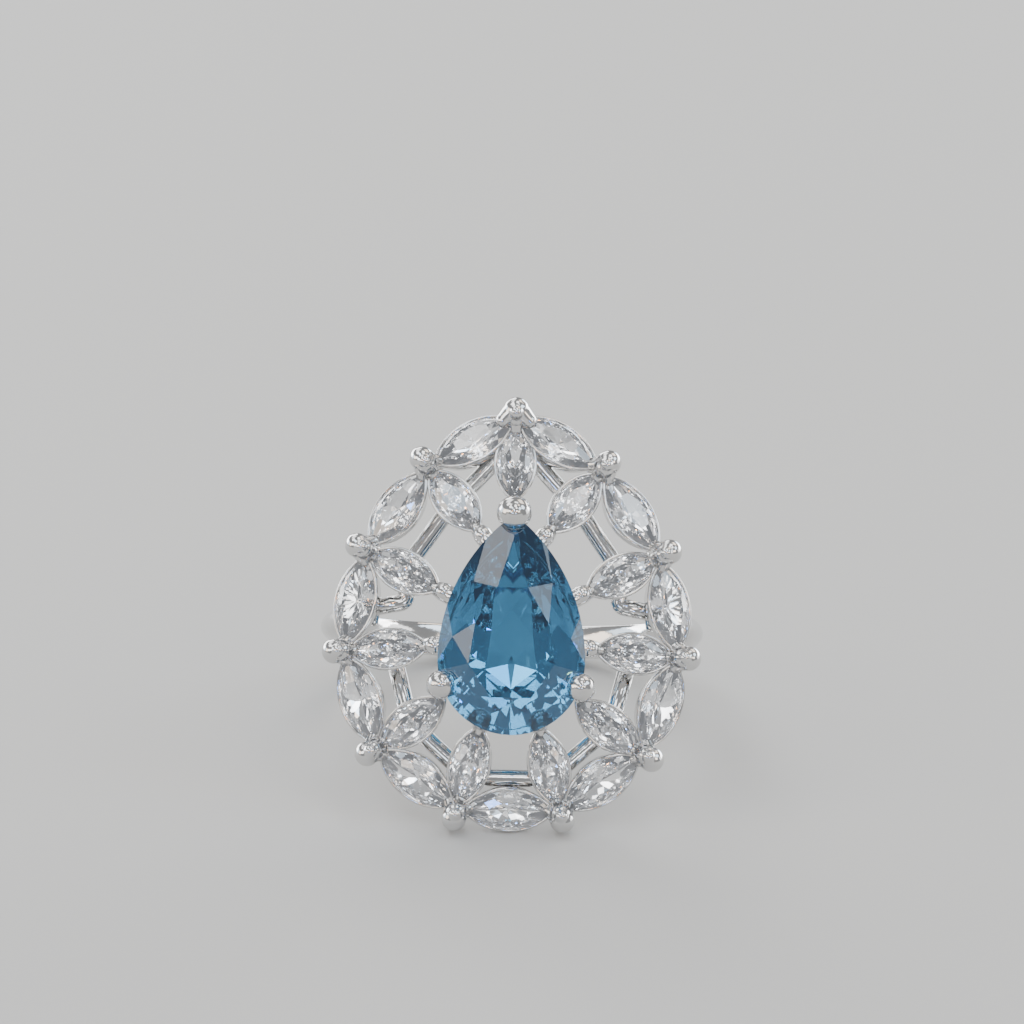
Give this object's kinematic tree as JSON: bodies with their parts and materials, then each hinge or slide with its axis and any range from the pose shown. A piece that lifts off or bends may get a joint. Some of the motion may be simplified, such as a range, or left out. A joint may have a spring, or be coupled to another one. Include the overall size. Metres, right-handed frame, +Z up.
{
  "type": "cocktail ring",
  "caption": "Finger ring with a tall pear-shaped openwork head: a pear-cut blue centre stone with marquise stones as spokes and outer halo, on a plain half-round band open under the head.",
  "frame": {"origin": "centre of the finger hole, midway across the band's width", "axes": "+Z up as the ring stands on a table, on the lowest collet of its head and the back of its band; +X to the right as seen from in front of the head; the head's face looks along -Y and 27.1 degrees up, and the finger axis leans back by the same angle"},
  "size_m": [0.0216, 0.0264, 0.0216],
  "materials": {
    "silver": "mirror-polished rhodium-plated sterling silver",
    "zirconia": "clear colourless faceted stone, polished",
    "topaz": "clear deep blue faceted stone, polished"
  },
  "bodies": {
    "root": {"shank": "silver", "shoulder_left": "silver", "shoulder_right": "silver", "pear_stone": "topaz", "halo_rim": "silver", "pear_basket": "silver", "gallery_wire_upper": "silver", "gallery_wire_lower": "silver", "pear_claw_point": "silver", "pear_claw_left": "silver", "pear_claw_right": "silver", "halo_stone_01": "zirconia", "halo_stone_02": "zirconia", "halo_stone_03": "zirconia", "halo_stone_04": "zirconia", "halo_stone_05": "zirconia", "halo_stone_06": "zirconia", "halo_stone_07": "zirconia", "halo_stone_08": "zirconia", "halo_stone_09": "zirconia", "halo_stone_10": "zirconia", "halo_stone_11": "zirconia", "spoke_stone_01": "zirconia", "spoke_stone_02": "zirconia", "spoke_stone_03": "zirconia", "spoke_stone_04": "zirconia", "spoke_stone_05": "zirconia", "spoke_stone_06": "zirconia", "spoke_stone_07": "zirconia", "spoke_stone_08": "zirconia", "spoke_stone_09": "zirconia", "spoke_stone_10": "zirconia", "spoke_stone_11": "zirconia", "halo_claw_01": "silver", "halo_claw_02": "silver", "halo_claw_03": "silver", "halo_claw_04": "silver", "halo_claw_05": "silver", "halo_claw_06": "silver", "halo_claw_07": "silver", "halo_claw_08": "silver", "halo_claw_09": "silver", "halo_claw_10": "silver", "halo_claw_11": "silver", "spoke_setting_01": "silver", "spoke_setting_02": "silver", "spoke_setting_03": "silver", "spoke_setting_04": "silver", "spoke_setting_05": "silver", "spoke_setting_06": "silver", "spoke_setting_07": "silver", "spoke_setting_08": "silver", "spoke_setting_09": "silver", "spoke_setting_10": "silver", "spoke_setting_11": "silver"}
  },
  "joints": []
}
